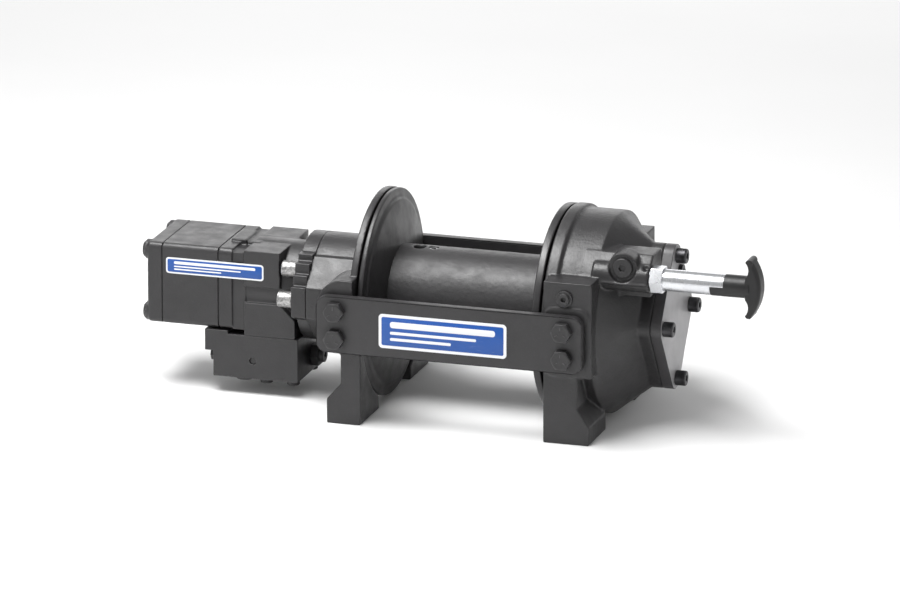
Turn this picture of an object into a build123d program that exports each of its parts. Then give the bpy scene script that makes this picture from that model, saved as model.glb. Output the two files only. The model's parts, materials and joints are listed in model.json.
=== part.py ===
from build123d import *
from math import acos, atan2, cos, pi, radians, sin, tan
import os

# A hydraulic planetary winch: gerotor motor with valve block, multi-disc brake, cable drum on two end
# castings joined by tie plates, two-stage planetary gearing, and a spring-loaded clutch with a T-handle.
# Millimetres. +X runs along the drum towards the clutch handle, +Y to the back, +Z up. The origin is the
# centre of the four foot bolt holes, on the plane that the feet stand on.

os.makedirs("parts", exist_ok=True)

# ---------------------------------------------------------------- driving dimensions
AXIS_Z = 110.5          # drum axis above the base
FOOT_SPAN_X = 230.0     # foot bolt spacing along the drum
FOOT_SPAN_Y = 170.0     # foot bolt spacing front to back
FOOT_BOLT_R = 7.94      # tapped 5/8 inch hole, at its major diameter
FOOT_BOLT_DEPTH = 24.0
RUNNING = 0.05          # radial clearance of a running fit

DRUM_LEFT = -99.0       # inner rim plane of the motor side drum flange
DRUM_RIGHT = 82.0       # inner rim plane of the gear side drum flange
DRUM_FLANGE_R = 107.5
BARREL_R = 50.8
BULGE = 8.4             # how far a flange's cone stands in from its rim at the barrel
ROPE_HOLE_X = -70.0     # radial hole in the barrel that takes the rope's end
ROPE_HOLE_R = 6.6
ANCHOR_X = -55.0        # set screw that clamps it
LEFT_RIM = 5.0          # rim thicknesses
RIGHT_RIM = 8.0

GUARD_R = 108.0         # guard disc of the motor side bracket
GUARD = (-113.0, -106.0)
HUB_R = 34.0            # bore of the drum bushing on the bracket's hub
SIDE_Y = 116.0          # front face of ears, pads and feet
PAD_Y = 114.4           # pads and feet of the gear housing, behind the raised seat of the tie plate
FOOT_INNER_Y = 53.0     # how far in the feet reach
PLATE_T = 10.0          # tie plate
PLATE_HALF = 141.5
PLATE_Z = -2.5          # height of the tie plate's middle above the drum axis
PLATE_H = 60.0
BOLT_X = 121.0          # tie plate bolts
BOLT_DZ = 14.5
BOLT_AF = 19.05
BOLT_R = 6.35
BOLT_END = 100.0        # how far in the tie plate bolts reach
FLANGE_RELIEF_R = 110.5 # room for the drum flange inside the feet

MOTOR_Y = 48.0          # half width of the motor's square section
MOTOR_TOP = 44.0
MOTOR_BOTTOM = -42.0
MOTOR_FACE = -350.5     # left face of the end cover
SEAM_LEFT = -334.0      # end cover to rotor housing
SEAM_RIGHT = -273.0     # rotor housing to front housing
SEAM = 0.8              # gasket thickness
SQUARE_END = -244.0
NECK_R = 45.0
MOTOR_FLANGE = (-187.0, -171.0)
MOTOR_SHAFT_R = 12.0
MOUNT_SCREWS = [(-46, 28.5), (46, 28.5), (-61, 0), (61, 0)]
MOTOR_BOLTS = [(-37, 34), (37, 34), (-37, -32), (37, -32)]

PINS = 7                # gerotor outer lobes; the inner rotor has one fewer
PIN_CIRCLE = 29.0
PIN_R = 8.0
PIN_GAP = 0.12          # working clearance of the inner rotor
ECCENTRIC = 2.8
OUTER_ROTOR_R = 38.0

BRAKE = (-171.0, -113.0)
BRAKE_R = 56.5
BRAKE_BORE = 46.0
BRAKE_FLOOR = -119.0
PLATE_PITCH = 6.0
FIRST_PLATE = -169.0
SHAFT_R = 11.0          # long drive shaft
HUB_DISC_R = 16.0       # brake hub on the drive shaft

VENT_AT = (119.8, 43.5) # vent plug on the front pad, as (x, height)
GEAR_FACE = 92.0        # left face of the gear housing
GEAR_WALL = 99.0        # inner face of its left wall
GEAR_R = 104.5          # cylindrical part of the gear housing
CONE = (144.0, 180.0)   # where the housing tapers from round to lozenge
END_FACE = 193.0        # joint face of the end cover
COVER_FACE = 205.0
CAVITY_R = 98.0
LOZENGE = (61.0, 89.0)  # sharp half diagonals of the end cover
LOZENGE_R = 16.0
COVER_BOLTS = [(0, 65), (0, -65), (47, 0), (-47, 0)]

MODULE = 2.0
PRESSURE = radians(20)
SUN, PLANET, RING = 18, 27, 72
CENTRES = MODULE * (SUN + PLANET) / 2
BACKLASH = 0.40         # taken off each tooth's thickness, half on each flank
OUTPUT_GEARS = (107.0, 127.0)
INPUT_GEARS = (135.0, 148.0)
PIN_RADIUS = 9.0        # planet pins
RING_SPAN = (106.0, 150.0)
RING_R = 84.0
LOCK_FLANGE = (114.0, 126.0)
LOCK_NOTCHES = 12

CLUTCH = (-72.0, 60.0)  # clutch axis, as back offset and height from the drum axis
BOSS = (128.0, 199.0)   # boss on the gear housing that holds the clutch
PLUG_AT = (171.5, 71.5) # large plug on the front of the boss, as (x, height)
PLUG_FACE = -81.5       # its spot face
PLUNGER_TIP_R = 5.0
PLUNGER_BORE = 8.15
NUT = (200.0, 213.0)
NUT_AF = 25.4
TUBE_R = 11.25
TUBE_ENDS = (263.0, 277.0)  # end of the tube's lower and upper half
HANDLE_R = 11.5
T_BAR = (300.0, 316.0)
T_HALF = 31.0           # half height of the T
T_WIDTH = 20.0          # its depth

VALVE = (-279.0, -187.0)
VALVE_Y = (-48.0, 35.0)
VALVE_TOP = -47.0
VALVE_BOTTOM = -93.0
PORT_R = 11.11          # 7/8-14 straight thread ports
PORT_X = (-263.0, -217.0)
PORT_Z = -70.0

DRUM_AXIS = Axis((0, 0, AXIS_Z), (1, 0, 0))
LONGWAYS = Plane(origin=(0, 0, AXIS_Z), x_dir=(1, 0, 0), z_dir=(0, -1, 0))


# ---------------------------------------------------------------- helpers
def across(x):
    """Plane square to the drum axis at a station; its own x is +Y and its own y is +Z."""
    return Plane(origin=(x, 0, AXIS_Z), x_dir=(0, 1, 0), z_dir=(1, 0, 0))


def facing_front(y):
    """Plane square to Y that looks towards the front; its own x is +X and its own y is +Z."""
    return Plane(origin=(0, y, AXIS_Z), x_dir=(1, 0, 0), z_dir=(0, -1, 0))


def save(piece, name):
    piece.part.label = name
    export_step(piece.part, f"parts/{name}.step")


def tube(start, end, outer, inner=0.0, centres=((0, 0),), mode=Mode.ADD):
    """Round bars or tubes parallel to the drum axis, between two stations."""
    with BuildSketch(across(start)) as profile:
        with Locations(*centres):
            Circle(outer)
        if inner:
            with Locations(*centres):
                Circle(inner, mode=Mode.SUBTRACT)
    extrude(profile.sketch, amount=end - start, mode=mode)


def turned(points, mode=Mode.ADD):
    """Body of revolution about the drum axis, from (station, radius) points."""
    with BuildSketch(LONGWAYS) as profile:
        with BuildLine():
            Polyline(*points, close=True)
        make_face()
    revolve(profile.sketch, axis=DRUM_AXIS, mode=mode)


def block(low, high, mode=Mode.ADD):
    """Box between two corners, each (x, y, height from the drum axis)."""
    middle = [(a + b) / 2 for a, b in zip(low, high)]
    with Locations((middle[0], middle[1], AXIS_Z + middle[2])):
        Box(*[b - a for a, b in zip(low, high)], mode=mode)


def slab(points, start, end, mode=Mode.ADD):
    """Outline of (back offset, height) points, extruded along the drum axis."""
    with BuildSketch(across(start)) as profile:
        with BuildLine():
            Polyline(*points, close=True)
        make_face()
    extrude(profile.sketch, amount=end - start, mode=mode)


def side(points, front, back, mode=Mode.ADD):
    """Outline of (x, height) points, extruded between two depths."""
    with BuildSketch(facing_front(back)) as profile:
        with BuildLine():
            Polyline(*points, close=True)
        make_face()
    extrude(profile.sketch, amount=back - front, mode=mode)


def front_bores(radius, start, end, centres, mode=Mode.SUBTRACT):
    """Round bores or bars along Y from one depth to another, at (x, height) centres."""
    with BuildSketch(facing_front(end)) as profile:
        with Locations(*centres):
            Circle(radius)
    extrude(profile.sketch, amount=end - start, mode=mode)


def hex_prism(plane, flats, height, centres=((0, 0),), mode=Mode.ADD):
    """Hexagons of a given width across flats, extruded off a plane."""
    with BuildSketch(plane) as profile:
        with Locations(*centres):
            RegularPolygon(flats / 2, 6, major_radius=False)
    extrude(profile.sketch, amount=height, mode=mode)


def lozenge(plane, grow=0.0):
    """Rounded diamond outline of the end cover."""
    wide, tall = LOZENGE
    with BuildSketch(plane) as profile:
        with BuildLine():
            Polyline((wide, 0), (0, tall), (-wide, 0), (0, -tall), close=True)
        make_face()
        fillet(profile.vertices(), LOZENGE_R)
        if grow:
            offset(amount=grow)
    return profile.sketch


def flank_angle(teeth, radius, hollow):
    """Half of a tooth's angle at a radius, or half of a tooth space's angle in a ring."""
    pitch = MODULE * teeth / 2
    base = pitch * cos(PRESSURE)
    at = acos(min(1.0, base / radius))
    sign = 1 if hollow else -1
    half = (pi * MODULE / 2 + sign * BACKLASH / 2) / 2 / pitch
    return half + (tan(PRESSURE) - PRESSURE) - (tan(at) - at)


def gear_outline(teeth, tip, root, hollow=False, turn=0.0):
    """Closed outline of a gear, or of the toothed hole in a ring, with a tooth or a space at `turn`."""
    base = MODULE * teeth / 2 * cos(PRESSURE)
    low, high = max(min(tip, root), base * 1.001), max(tip, root)
    floor = min(tip, root)

    def at(radius, angle):
        return (radius * cos(angle), radius * sin(angle))

    for number in range(teeth):
        centre = turn + 2 * pi * number / teeth
        following = turn + 2 * pi * (number + 1) / teeth
        radii = (low, (low + high) / 2, high)
        rising = [at(r, centre - flank_angle(teeth, r, hollow)) for r in radii]
        falling = [at(r, centre + flank_angle(teeth, r, hollow)) for r in reversed(radii)]
        foot = flank_angle(teeth, low, hollow)
        if low > floor:
            Line(at(floor, centre - foot), rising[0])
            Line(falling[-1], at(floor, centre + foot))
        ThreePointArc(*rising)
        ThreePointArc(rising[-1], at(high, centre), falling[0])
        ThreePointArc(*falling)
        ThreePointArc(
            at(floor, centre + foot),
            at(floor, (centre + following) / 2),
            at(floor, following - foot),
        )


def planet_places():
    """Angles of the three planets about their carrier."""
    return [2 * pi * number / 3 for number in range(3)]


def at_angle(radius, angle):
    return (radius * cos(angle), radius * sin(angle))


# ---------------------------------------------------------------- motor
def motor_square(start, end, mode=Mode.ADD, inset=0.0):
    """The motor's rounded square section between two stations."""
    middle = (MOTOR_TOP + MOTOR_BOTTOM) / 2
    with BuildSketch(across(start)) as profile:
        with Locations((0, middle)):
            RectangleRounded(2 * (MOTOR_Y - inset), MOTOR_TOP - MOTOR_BOTTOM - 2 * inset, 6)
    extrude(profile.sketch, amount=end - start, mode=mode)


with BuildPart() as motor_end_cover:
    motor_square(MOTOR_FACE, SEAM_LEFT - SEAM / 2)
    chamfer(motor_end_cover.faces().sort_by(Axis.X)[0].edges(), 2)
    block((MOTOR_FACE - 3.5, -21, -18.5), (MOTOR_FACE + 1, 21, 18.5))
    tube(MOTOR_FACE - 3.5, MOTOR_FACE + 6, 10.2, 0, MOTOR_BOLTS)
    tube(MOTOR_FACE - 4, MOTOR_FACE + 3, 8.9, 0, MOTOR_BOLTS, Mode.SUBTRACT)
    tube(MOTOR_FACE, SEAM_LEFT, 5.2, 0, MOTOR_BOLTS, Mode.SUBTRACT)
    tube(-349, SEAM_LEFT, 15, 0, mode=Mode.SUBTRACT)
save(motor_end_cover, "motor_end_cover")

with BuildPart() as motor_cover_bolts:
    for centre in MOTOR_BOLTS:
        hex_prism(across(MOTOR_FACE - 6), 15, 9, [centre])
    tube(MOTOR_FACE, -258, 5, 0, MOTOR_BOLTS)
save(motor_cover_bolts, "motor_cover_bolts")

with BuildPart() as motor_rotor_housing:
    motor_square(SEAM_LEFT + SEAM / 2, SEAM_RIGHT - SEAM / 2)
    tube(SEAM_LEFT, SEAM_RIGHT, OUTER_ROTOR_R + RUNNING, 0, [(-ECCENTRIC, 0)], Mode.SUBTRACT)
    tube(SEAM_LEFT, SEAM_RIGHT, 5.2, 0, MOTOR_BOLTS, Mode.SUBTRACT)
save(motor_rotor_housing, "motor_rotor_housing")

with BuildPart() as motor_gaskets:
    for station in (SEAM_LEFT, SEAM_RIGHT):
        motor_square(station - SEAM / 2, station + SEAM / 2, inset=1.2)
    tube(SEAM_LEFT - 1, SEAM_RIGHT + 1, 41.5, 0, mode=Mode.SUBTRACT)
    tube(SEAM_LEFT - 1, SEAM_RIGHT + 1, 5.2, 0, MOTOR_BOLTS, Mode.SUBTRACT)
save(motor_gaskets, "motor_gaskets")

with BuildPart() as gerotor_outer_rotor:
    with BuildSketch(across(SEAM_LEFT - 0.3)) as ring_profile:
        with Locations((-ECCENTRIC, 0)):
            Circle(OUTER_ROTOR_R)
            Circle(PIN_CIRCLE - PIN_R + 2 * ECCENTRIC + 0.1, mode=Mode.SUBTRACT)
            with PolarLocations(PIN_CIRCLE, PINS):
                Circle(PIN_R)
    extrude(amount=SEAM_RIGHT - SEAM_LEFT + 0.6)
save(gerotor_outer_rotor, "gerotor_outer_rotor")


def rotor_point(turn):
    """Point of the inner rotor's flank: the curve that stays a lobe's radius from seven round lobes."""
    lobe = PIN_R + PIN_GAP
    lean = atan2(sin((1 - PINS) * turn), PIN_CIRCLE / (ECCENTRIC * PINS) - cos((1 - PINS) * turn))
    y = PIN_CIRCLE * cos(turn) - lobe * cos(turn + lean) - ECCENTRIC * cos(PINS * turn)
    z = -PIN_CIRCLE * sin(turn) + lobe * sin(turn + lean) + ECCENTRIC * sin(PINS * turn)
    return (y, z)


ROTOR_STEPS = 168
with BuildPart() as gerotor_inner_rotor:
    with BuildSketch(across(SEAM_LEFT - 0.3)):
        with BuildLine():
            Spline([rotor_point(2 * pi * n / ROTOR_STEPS) for n in range(ROTOR_STEPS)], periodic=True)
        make_face()
        Circle(MOTOR_SHAFT_R, mode=Mode.SUBTRACT)
    extrude(amount=SEAM_RIGHT - SEAM_LEFT + 0.6)
save(gerotor_inner_rotor, "gerotor_inner_rotor")

SOCKET = (-190.5, -172.0)   # blind bore in the motor shaft that takes the drive shaft's end
with BuildPart() as motor_shaft:
    tube(-347, SOCKET[1], MOTOR_SHAFT_R)
    tube(SOCKET[0], SOCKET[1], 8, 0, mode=Mode.SUBTRACT)
    chamfer(motor_shaft.faces().sort_by(Axis.X)[0].edges(), 1)
save(motor_shaft, "motor_shaft")

FLANGE_STAIR = [(-70, 16), (-63, 16), (-63, 27), (-56, 27), (-56, 38), (-45, 38), (-45, 45)]
with BuildPart() as motor_front_housing:
    motor_square(SEAM_RIGHT + SEAM / 2, SQUARE_END - 14)
    block((SQUARE_END - 14, -46, -42), (SQUARE_END, 46, 41))
    block((-268, -18, 40), (-252, 18, 47))
    block((-252, -16, 38), (-238, 16, 44.5))
    tube(SQUARE_END - 1, MOTOR_FLANGE[0] + 1, NECK_R)
    block((SQUARE_END - 1, -MOTOR_Y, 6), (-206, MOTOR_Y, 44))
    block((SQUARE_END - 1, -44, -11.5), (-217, 44, 6))
    side(
        [(-245, -11.5), (-206, -11.5), (-190, -27), (-190, VALVE_TOP), (-245, VALVE_TOP)],
        -MOTOR_Y,
        35,
    )
    slab(
        FLANGE_STAIR + [(-y, z) for y, z in reversed(FLANGE_STAIR)]
        + [(70, -16), (56, -22), (-56, -22), (-70, -16)],
        *MOTOR_FLANGE,
    )
    tube(*MOTOR_FLANGE, BRAKE_R)
    tube(SEAM_RIGHT, -250, 15, 0, mode=Mode.SUBTRACT)
    tube(-251, MOTOR_FLANGE[1], 18, 0, mode=Mode.SUBTRACT)
    tube(-275, -256, 5, 0, MOTOR_BOLTS, Mode.SUBTRACT)
    tube(-206.5, MOTOR_FLANGE[0], 9.2, 0, MOUNT_SCREWS, Mode.SUBTRACT)
    tube(*MOTOR_FLANGE, 5.2, 0, MOUNT_SCREWS, Mode.SUBTRACT)
save(motor_front_housing, "motor_front_housing")

with BuildPart() as motor_shaft_bushes:
    tube(-348.5, -336, 15, MOTOR_SHAFT_R + RUNNING)
    tube(-271, -252, 15, MOTOR_SHAFT_R + RUNNING)
save(motor_shaft_bushes, "motor_shaft_bushes")

with BuildPart() as motor_shaft_seal:
    tube(-206, -197, 18, MOTOR_SHAFT_R + RUNNING)
save(motor_shaft_seal, "motor_shaft_seal")

with BuildPart() as motor_mount_screws:
    tube(-203, MOTOR_FLANGE[0], 8.6, 0, MOUNT_SCREWS)
    tube(MOTOR_FLANGE[0], -140, 5, 0, MOUNT_SCREWS)
    hex_prism(across(-203), 8, 6, MOUNT_SCREWS, Mode.SUBTRACT)
save(motor_mount_screws, "motor_mount_screws")

# ---------------------------------------------------------------- valve block
VALVE_SCREWS = [(-226, -32), (-197, -32), (-240, 28), (-197, 28)]
CARTRIDGE = (4.0, -76.0)
with BuildPart() as valve_block:
    block((VALVE[0], VALVE_Y[0], VALVE_BOTTOM), (VALVE[1], VALVE_Y[1], VALVE_TOP))
    block((VALVE[0] - 9, VALVE_Y[0], -66), (VALVE[0] + 16, VALVE_Y[1], MOTOR_BOTTOM - 1.5))
    front_bores(PORT_R, VALVE_Y[1] - 17, VALVE_Y[1], [(x, PORT_Z) for x in PORT_X])
    front_bores(3.6, VALVE_Y[0], VALVE_Y[0] + 9, [(-235.8, -74)])
    tube(-228, VALVE[1], 9, 0, [CARTRIDGE], Mode.SUBTRACT)
    with BuildSketch(Plane.XY.offset(AXIS_Z + VALVE_BOTTOM)) as screw_holes:
        with Locations(*VALVE_SCREWS):
            Circle(4.2)
    extrude(amount=VALVE_TOP - VALVE_BOTTOM, mode=Mode.SUBTRACT)
save(valve_block, "valve_block")

with BuildPart() as valve_block_screws:
    with BuildSketch(Plane.XY.offset(AXIS_Z + VALVE_BOTTOM - 7)):
        with Locations(*VALVE_SCREWS):
            Circle(6.6)
    extrude(amount=7)
    with BuildSketch(Plane.XY.offset(AXIS_Z + VALVE_BOTTOM)):
        with Locations(*VALVE_SCREWS):
            Circle(4)
    extrude(amount=VALVE_TOP - VALVE_BOTTOM)
save(valve_block_screws, "valve_block_screws")

with BuildPart() as valve_block_plugs:
    hex_prism(across(VALVE[0] - 7), 12, 7, [(-30, -74.5)])
    front_bores(3.5, VALVE_Y[0] + 2, VALVE_Y[0] + 8, [(-235.8, -74)], Mode.ADD)
    with BuildSketch(Plane.XY.offset(AXIS_Z + VALVE_BOTTOM - 5)):
        with Locations((-250, -30)):
            Circle(9)
    extrude(amount=5)
save(valve_block_plugs, "valve_block_plugs")

with BuildPart() as counterbalance_cartridge:
    tube(-226, VALVE[1], 8.95, 0, [CARTRIDGE])
    hex_prism(across(VALVE[1]), 22, 8, [CARTRIDGE])
    tube(VALVE[1] + 8, VALVE[1] + 13, 8, 0, [CARTRIDGE])
    hex_prism(across(VALVE[1] + 9), 6, 4, [CARTRIDGE], Mode.SUBTRACT)
save(counterbalance_cartridge, "counterbalance_cartridge")

# ---------------------------------------------------------------- brake
LUG = [(-70, -16), (-70, 16), (-42, 43), (42, 43), (70, 16), (70, -16), (42, -43), (-42, -43)]
with BuildPart() as brake_housing:
    slab(LUG, BRAKE[0], BRAKE[1])
    tube(*BRAKE, BRAKE_R)
    tube(BRAKE[0], BRAKE_FLOOR, BRAKE_BORE, 0, mode=Mode.SUBTRACT)
    tube(BRAKE_FLOOR, BRAKE[1], 18, 0, mode=Mode.SUBTRACT)
    tube(BRAKE[0], -138, 5, 0, MOUNT_SCREWS, Mode.SUBTRACT)
save(brake_housing, "brake_housing")

with BuildPart() as brake_steel_plates:
    for number in range(4):
        start = FIRST_PLATE + PLATE_PITCH * number
        tube(start, start + 3, BRAKE_BORE, 18)
save(brake_steel_plates, "brake_steel_plates")

with BuildPart() as brake_friction_discs:
    for number in range(3):
        start = FIRST_PLATE + 3.2 + PLATE_PITCH * number
        tube(start, start + 2.6, 43, HUB_DISC_R)
save(brake_friction_discs, "brake_friction_discs")

PISTON = (-147.8, -137.0)
PISTON_STROKE = 1.5
with BuildPart() as brake_piston:
    tube(*PISTON, BRAKE_BORE - RUNNING, 20)
    turned([(-139, BRAKE_BORE + 1), (-139, 44), (-143, 44), (-143, BRAKE_BORE + 1)], Mode.SUBTRACT)
save(brake_piston, "brake_piston")

WASHER_STEP = 4.35
with BuildPart() as brake_disc_springs:
    for number in range(4):
        start = PISTON[1] + 0.2 + WASHER_STEP * number
        inner_x, outer_x = (start, start + 2) if number % 2 else (start + 2, start)
        turned([(inner_x, 21), (inner_x + 2, 21), (outer_x + 2, 44), (outer_x, 44)])
save(brake_disc_springs, "brake_disc_springs")

# ---------------------------------------------------------------- motor side bracket
FOOT_LEFT = [
    (-118.6, -34.5), (-97.2, -34.5), (-97.2, -AXIS_Z),
    (-133.6, -AXIS_Z), (-133.6, -85), (-118.6, -68),
]
with BuildPart() as motor_side_bracket:
    tube(*GUARD, GUARD_R)
    tube(GUARD[1], -80, HUB_R - RUNNING)
    with BuildSketch(facing_front(-72)):
        with BuildLine():
            Polyline((-106, -36), (-106, 42), (-119, 42))
            ThreePointArc((-119, 42), (-137, 32), (-144, 14))
            Polyline((-144, 14), (-144, -16))
            ThreePointArc((-144, -16), (-138, -30), (-124, -36))
            Polyline((-124, -36), (-106, -36))
        make_face()
    extrude(amount=SIDE_Y - 72)
    side(FOOT_LEFT, -SIDE_Y, -FOOT_INNER_Y)
    mirror(about=Plane.XZ)
    tube(GUARD[1], -80, FLANGE_RELIEF_R, HUB_R, mode=Mode.SUBTRACT)
    tube(GUARD[0], -80, 18, 0, mode=Mode.SUBTRACT)
    for sign in (-1, 1):
        centres = [(-BOLT_X, PLATE_Z + BOLT_DZ), (-BOLT_X, PLATE_Z - BOLT_DZ)]
        low, high = sorted((sign * BOLT_END, sign * SIDE_Y))
        front_bores(BOLT_R, low, high, centres)
    with BuildSketch(Plane.XY):
        with Locations(*[(-FOOT_SPAN_X / 2, y) for y in (-FOOT_SPAN_Y / 2, FOOT_SPAN_Y / 2)]):
            Circle(FOOT_BOLT_R)
    extrude(amount=FOOT_BOLT_DEPTH, mode=Mode.SUBTRACT)
save(motor_side_bracket, "motor_side_bracket")

with BuildPart() as shaft_support_bearing:
    tube(-104, -88, 18, SHAFT_R + RUNNING)
save(shaft_support_bearing, "shaft_support_bearing")

# ---------------------------------------------------------------- tie plates and their bolts
BOLT_CENTRES = [(sx * BOLT_X, PLATE_Z + sz * BOLT_DZ) for sx in (-1, 1) for sz in (-1, 1)]
for name, sign in (("front_tie_plate", -1), ("rear_tie_plate", 1)):
    low, high = sorted((sign * SIDE_Y, sign * (SIDE_Y + PLATE_T)))
    with BuildPart() as tie_plate:
        with BuildSketch(facing_front(high)):
            with Locations((0, PLATE_Z)):
                RectangleRounded(2 * PLATE_HALF, PLATE_H, 11)
            with Locations(*BOLT_CENTRES):
                Circle(BOLT_R + 0.3, mode=Mode.SUBTRACT)
        extrude(amount=PLATE_T)
        chamfer(tie_plate.faces().filter_by(Axis.Y).edges().filter_by(GeomType.LINE), 0.8)
    save(tie_plate, name)

with BuildPart() as tie_plate_bolts:
    outside = SIDE_Y + PLATE_T
    hex_prism(facing_front(-outside), BOLT_AF, 8, BOLT_CENTRES)
    front_bores(BOLT_R, -outside, -BOLT_END, BOLT_CENTRES, Mode.ADD)
    mirror(about=Plane.XZ)
save(tie_plate_bolts, "tie_plate_bolts")

# ---------------------------------------------------------------- drum
with BuildPart() as drum_barrel:
    tube(DRUM_LEFT - LEFT_RIM, 100, BARREL_R, 38)
    tube(-80, 60, 43, 38, mode=Mode.SUBTRACT)
    with BuildSketch(Plane.XY.offset(AXIS_Z + 30)):
        with Locations((ROPE_HOLE_X, 0)):
            Circle(ROPE_HOLE_R)
        with Locations((ANCHOR_X, 0)):
            Circle(4.95)
    extrude(amount=30, mode=Mode.SUBTRACT)
save(drum_barrel, "drum_barrel")


def drum_flange(rim, thickness, inwards):
    """Drum flange: flat outer face, rounded rim, a lip, and a shallow cone down to the barrel."""
    outer = rim - inwards * thickness
    turned([
        (outer, BARREL_R),
        (outer, DRUM_FLANGE_R - 1.2),
        (outer + inwards * 1.2, DRUM_FLANGE_R),
        (rim - inwards * 1.2, DRUM_FLANGE_R),
        (rim, DRUM_FLANGE_R - 1.5),
        (rim + inwards * 0.4, DRUM_FLANGE_R - 7.5),
        (rim + inwards * 2.6, DRUM_FLANGE_R - 11.5),
        (rim + inwards * BULGE, BARREL_R + 6),
        (rim + inwards * BULGE, BARREL_R),
    ])


with BuildPart() as drum_flange_motor_side:
    drum_flange(DRUM_LEFT, LEFT_RIM, 1)
save(drum_flange_motor_side, "drum_flange_motor_side")

with BuildPart() as drum_flange_gear_side:
    drum_flange(DRUM_RIGHT, RIGHT_RIM, -1)
save(drum_flange_gear_side, "drum_flange_gear_side")

with BuildPart() as drum_bushing_motor_side:
    tube(-99.5, -81, 38, HUB_R)
save(drum_bushing_motor_side, "drum_bushing_motor_side")

with BuildPart() as drum_seal_motor_side:
    tube(-103.8, -99.5, 38, HUB_R + 0.02)
save(drum_seal_motor_side, "drum_seal_motor_side")

with BuildPart() as rope_anchor_screw:
    with BuildSketch(Plane.XY.offset(AXIS_Z + 43.6)):
        with Locations((ANCHOR_X, 0)):
            Circle(4.9)
    extrude(amount=6)
    hex_prism(Plane.XY.offset(AXIS_Z + 46), 5, 5, [(ANCHOR_X, 0)], Mode.SUBTRACT)
save(rope_anchor_screw, "rope_anchor_screw")

# ---------------------------------------------------------------- gear housing
CORNER_HALF = radians(12)   # half of the arc that runs into each rounded corner of the lozenge


def round_section(x):
    """The housing's circle, cut into eight arcs that match the lozenge's four corners and four sides."""
    with BuildSketch(across(x)) as profile:
        with BuildLine():
            for number in range(4):
                corner = number * pi / 2
                stops = (corner - CORNER_HALF, corner + CORNER_HALF, corner + pi / 2 - CORNER_HALF)
                for start, end in zip(stops, stops[1:]):
                    ThreePointArc(*[at_angle(GEAR_R, a) for a in (start, (start + end) / 2, end)])
        make_face()
    return profile.sketch


FOOT_RIGHT = [(97, -20), (133, -20), (133, -72), (146, -92), (146, -AXIS_Z), (97, -AXIS_Z)]
with BuildPart() as gear_housing:
    turned([
        (GEAR_FACE, 55), (GEAR_FACE, GUARD_R - 1), (GEAR_FACE + 1, GUARD_R), (104, GUARD_R),
        (105, GUARD_R - 1), (105, GEAR_R), (CONE[0], GEAR_R), (CONE[0], 40), (GEAR_FACE + 5, 40),
        (GEAR_FACE + 5, 55),
    ])
    loft([round_section(CONE[0]), lozenge(across(CONE[1]))], ruled=True)
    extrude(lozenge(across(CONE[1])), amount=END_FACE - CONE[1])
    # front and rear pads, and the feet under them
    block((97, -PAD_Y, -40), (148, -60, 60))
    side(FOOT_RIGHT, -PAD_Y, -FOOT_INNER_Y)
    with BuildSketch(facing_front(-PAD_Y)):
        with Locations((122.2, PLATE_Z)):
            RectangleRounded(50.4, PLATE_H + 13, 13)
    extrude(amount=SIDE_Y - PAD_Y)
    mirror(about=Plane.XZ)
    # boss for the clutch shifter
    with BuildSketch(across(BOSS[0])):
        Circle(GEAR_R + 0.5)
        with Locations((-68, 69)):
            Rectangle(64, 27, mode=Mode.INTERSECT)
    extrude(amount=BOSS[1] - BOSS[0])
    tube(140, BOSS[1], 15, 0, [CLUTCH])
    block((BOSS[0], -66, 38), (BOSS[1] - 3, -38, 78))
    front_bores(15.5, PLUG_FACE - 1, -60, [PLUG_AT], Mode.ADD)
    # cavity for the gearing, and the bore to the end cover
    turned([(GEAR_WALL, 0), (GEAR_WALL, CAVITY_R), (142, CAVITY_R), (152, 86), (152, 0)], Mode.SUBTRACT)
    tube(150, END_FACE, 34, 0, mode=Mode.SUBTRACT)
    tube(GEAR_FACE - 1, GEAR_WALL + 1, 55, 0, mode=Mode.SUBTRACT)
    tube(110, 151, PLUNGER_TIP_R + 0.2, 0, [CLUTCH], Mode.SUBTRACT)
    tube(149, 199, PLUNGER_BORE, 0, [CLUTCH], Mode.SUBTRACT)
    tube(186, 199, 9.5, 0, [CLUTCH], Mode.SUBTRACT)
    tube(170, END_FACE, 4.2, 0, COVER_BOLTS, Mode.SUBTRACT)
    # the drum flange runs inside the feet and pads
    tube(80, GEAR_FACE, FLANGE_RELIEF_R, 0, mode=Mode.SUBTRACT)
    for sign in (-1, 1):
        centres = [(BOLT_X, PLATE_Z + BOLT_DZ), (BOLT_X, PLATE_Z - BOLT_DZ)]
        low, high = sorted((sign * BOLT_END, sign * SIDE_Y))
        front_bores(BOLT_R, low, high, centres)
    front_bores(6, -PAD_Y, -PAD_Y + 9, [VENT_AT])
    front_bores(14.3, -100, PLUG_FACE, [PLUG_AT])
    front_bores(6.05, PLUG_FACE, PLUG_FACE + 2.6, [PLUG_AT])
    front_bores(3, -90, -76, [(195, 73)])
    with BuildSketch(Plane.XY):
        with Locations(*[(FOOT_SPAN_X / 2, y) for y in (-FOOT_SPAN_Y / 2, FOOT_SPAN_Y / 2)]):
            Circle(FOOT_BOLT_R)
    extrude(amount=FOOT_BOLT_DEPTH, mode=Mode.SUBTRACT)
save(gear_housing, "gear_housing")

with BuildPart() as drum_bushing_gear_side:
    tube(93, 98.5, 55, BARREL_R + RUNNING)
save(drum_bushing_gear_side, "drum_bushing_gear_side")

with BuildPart() as end_cover_gasket:
    extrude(lozenge(across(END_FACE), -0.8), amount=0.6)
    tube(END_FACE, END_FACE + 1, 34, 0, mode=Mode.SUBTRACT)
    tube(END_FACE, END_FACE + 1, 4.6, 0, COVER_BOLTS, Mode.SUBTRACT)
save(end_cover_gasket, "end_cover_gasket")

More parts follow.
